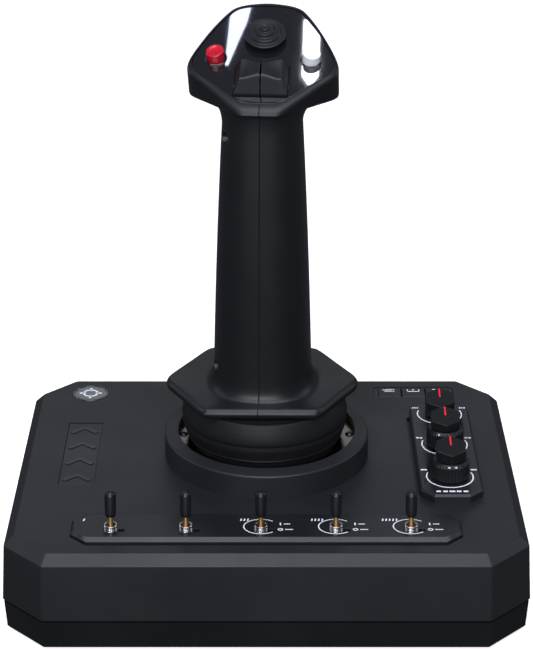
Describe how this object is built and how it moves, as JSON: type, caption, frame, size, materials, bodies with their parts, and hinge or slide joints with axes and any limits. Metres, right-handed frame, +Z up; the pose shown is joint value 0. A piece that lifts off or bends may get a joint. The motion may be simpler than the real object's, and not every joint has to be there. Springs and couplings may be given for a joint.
{
  "type": "flight joystick",
  "caption": "Desktop flight joystick: weighted base with toggles, stacked knobs and keys, and an upright twisting grip with hat switch, buttons and trim rockers.",
  "frame": {"origin": "centre of the base's footprint, on the surface that the rubber feet stand on", "axes": "+Z up along the stick, -Y towards the pilot, +X to the pilot's right"},
  "size_m": [0.2284, 0.181, 0.2471],
  "materials": {
    "base_plastic": "fine-textured black ABS",
    "tray_plastic": "fine-textured darker black ABS",
    "panel_plastic": "satin black plastic",
    "grip_plastic": "satin black plastic with a fine spark-eroded texture",
    "face_gloss": "piano black",
    "knob_plastic": "matt black",
    "control_plastic": "matt charcoal",
    "red_plastic": "satin red",
    "white_plastic": "satin white",
    "boot_rubber": "matt black rubber",
    "foot_rubber": "matt black rubber",
    "ring_metal": "champagne anodised",
    "bright_steel": "polished",
    "steel": "bright",
    "dark_steel": "black oxide",
    "zinc": "die-cast grey",
    "bronze": "sintered bronze",
    "board": "green solder mask",
    "badge_black": "gloss black"
  },
  "bodies": {
    "base": {"upper_shell": "base_plastic", "lower_shell": "tray_plastic", "rubber_feet": "foot_rubber", "base_screws": "dark_steel", "ballast_plate": "steel", "main_circuit_board": "board", "usb_socket": "bright_steel", "turret_collar": "base_plastic", "boot_ring": "ring_metal", "ring_screws": "steel", "rubber_boot": "boot_rubber", "gimbal_frame": "zinc", "gimbal_screws": "dark_steel", "pitch_bearings": "bronze", "centring_spring": "steel", "toggle_panel": "panel_plastic", "toggle_bushings": "bright_steel", "toggle_switches": "board", "knob_panel": "panel_plastic", "encoder_board": "board", "key_bezel": "panel_plastic", "key_board": "board", "badge": "badge_black", "chevron_panel": "panel_plastic"},
    "yoke": {"gimbal_yoke": "zinc", "pitch_axles": "steel", "roll_bearings": "bronze"},
    "stick": {"stick_hub": "zinc", "roll_axle": "steel", "stick_shaft": "steel", "boot_plate": "grip_plastic", "twist_spring": "steel"},
    "grip": {"twist_spindle": "grip_plastic", "grip_left": "grip_plastic", "grip_right": "grip_plastic", "grip_screws": "dark_steel", "head_faceplate": "face_gloss", "grip_circuit_board": "board", "button_rings": "bright_steel", "rocker_pin": "steel", "hat_base": "grip_plastic"},
    "hat_gimbal": {"hat_ring": "steel"},
    "hat": {"hat_cap": "control_plastic"},
    "red_button": {"red_button": "red_plastic"},
    "white_button": {"white_button": "white_plastic"},
    "rocker_left": {"rocker_left": "control_plastic"},
    "rocker_right": {"rocker_right": "control_plastic"},
    "toggle_1": {"toggle_lever_1": "knob_plastic"},
    "toggle_2": {"toggle_lever_2": "knob_plastic"},
    "toggle_3": {"toggle_lever_3": "knob_plastic"},
    "toggle_4": {"toggle_lever_4": "knob_plastic"},
    "toggle_5": {"toggle_lever_5": "knob_plastic"},
    "knob_1": {"knob_1": "knob_plastic"},
    "knob_2": {"knob_2": "knob_plastic"},
    "knob_3": {"knob_3": "knob_plastic"},
    "outer_ring_1": {"outer_ring_1": "knob_plastic"},
    "outer_ring_2": {"outer_ring_2": "knob_plastic"},
    "key_1": {"key_1": "knob_plastic"},
    "key_2": {"key_2": "knob_plastic"},
    "key_3": {"key_3": "knob_plastic"}
  },
  "joints": [
    {"name": "stick_pitch", "type": "hinge", "parent": "base", "child": "yoke", "pos_m": [-0.0017, 0.009, 0.044], "axis": [1, 0, 0], "range_deg": [-18, 18], "stiffness_Nm_per_rad": 2, "deforming": ["rubber_boot", "centring_spring"]},
    {"name": "stick_roll", "type": "hinge", "parent": "yoke", "child": "stick", "pos_m": [-0.0017, 0.009, 0.044], "axis": [0, 1, 0], "range_deg": [-18, 18], "stiffness_Nm_per_rad": 2, "deforming": ["rubber_boot", "centring_spring"]},
    {"name": "grip_twist", "type": "hinge", "parent": "stick", "child": "grip", "pos_m": [-0.0017, 0.009, 0.044], "axis": [0, 0, 1], "range_deg": [-11, 19], "stiffness_Nm_per_rad": 0.3, "deforming": ["twist_spring"]},
    {"name": "hat_nod", "type": "hinge", "parent": "grip", "child": "hat_gimbal", "pos_m": [-0.00033, 0.02762, 0.23362], "axis": [0.9973, -0.0732, 0], "range_deg": [-8, 8], "stiffness_Nm_per_rad": 0.02},
    {"name": "hat_lean", "type": "hinge", "parent": "hat_gimbal", "child": "hat", "pos_m": [-0.00033, 0.02762, 0.23362], "axis": [0.0647, 0.8806, 0.4695], "range_deg": [-8, 8], "stiffness_Nm_per_rad": 0.02},
    {"name": "red_press", "type": "slide", "parent": "grip", "child": "red_button", "axis": [0.0344, 0.4682, -0.8829], "range_m": [0, 0.0015], "stiffness_N_per_m": 400, "springref_m": -0.0002},
    {"name": "white_press", "type": "slide", "parent": "grip", "child": "white_button", "axis": [0.0344, 0.4682, -0.8829], "range_m": [0, 0.0015], "stiffness_N_per_m": 400, "springref_m": -0.0002},
    {"name": "rocker_left_tilt", "type": "hinge", "parent": "grip", "child": "rocker_left", "pos_m": [-0.00202, 0.00466, 0.22217], "axis": [0.9973, -0.0732, 0], "range_deg": [-8, 8], "stiffness_Nm_per_rad": 0.05},
    {"name": "rocker_right_tilt", "type": "hinge", "parent": "grip", "child": "rocker_right", "pos_m": [-0.00202, 0.00466, 0.22217], "axis": [0.9973, -0.0732, 0], "range_deg": [-8, 8], "stiffness_Nm_per_rad": 0.05},
    {"name": "toggle_1_throw", "type": "hinge", "parent": "base", "child": "toggle_1", "pos_m": [-0.0668, -0.0674, 0.04748], "axis": [1, 0, 0], "range_deg": [0, 24]},
    {"name": "toggle_2_throw", "type": "hinge", "parent": "base", "child": "toggle_2", "pos_m": [-0.0346, -0.0674, 0.04748], "axis": [1, 0, 0], "range_deg": [0, 24]},
    {"name": "toggle_3_throw", "type": "hinge", "parent": "base", "child": "toggle_3", "pos_m": [-0.0024, -0.0674, 0.04748], "axis": [1, 0, 0], "range_deg": [0, 24]},
    {"name": "toggle_4_throw", "type": "hinge", "parent": "base", "child": "toggle_4", "pos_m": [0.0298, -0.0674, 0.04748], "axis": [1, 0, 0], "range_deg": [0, 24]},
    {"name": "toggle_5_throw", "type": "hinge", "parent": "base", "child": "toggle_5", "pos_m": [0.062, -0.0674, 0.04748], "axis": [1, 0, 0], "range_deg": [0, 24]},
    {"name": "knob_1_turn", "type": "hinge", "parent": "base", "child": "knob_1", "pos_m": [0.082, -0.0235, 0.058], "axis": [0, 0, 1], "continuous": true},
    {"name": "knob_2_turn", "type": "hinge", "parent": "base", "child": "knob_2", "pos_m": [0.082, 0.0082, 0.058], "axis": [0, 0, 1], "continuous": true},
    {"name": "knob_3_turn", "type": "hinge", "parent": "base", "child": "knob_3", "pos_m": [0.082, 0.0398, 0.058], "axis": [0, 0, 1], "continuous": true},
    {"name": "outer_ring_1_turn", "type": "hinge", "parent": "base", "child": "outer_ring_1", "pos_m": [0.082, -0.0235, 0.052], "axis": [0, 0, 1], "continuous": true},
    {"name": "outer_ring_2_turn", "type": "hinge", "parent": "base", "child": "outer_ring_2", "pos_m": [0.082, 0.0082, 0.052], "axis": [0, 0, 1], "continuous": true},
    {"name": "key_1_press", "type": "slide", "parent": "base", "child": "key_1", "axis": [0, 0, -1], "range_m": [0, 0.0015], "stiffness_N_per_m": 400, "springref_m": -0.0002},
    {"name": "key_2_press", "type": "slide", "parent": "base", "child": "key_2", "axis": [0, 0, -1], "range_m": [0, 0.0015], "stiffness_N_per_m": 400, "springref_m": -0.0002},
    {"name": "key_3_press", "type": "slide", "parent": "base", "child": "key_3", "axis": [0, 0, -1], "range_m": [0, 0.0015], "stiffness_N_per_m": 400, "springref_m": -0.0002}
  ]
}
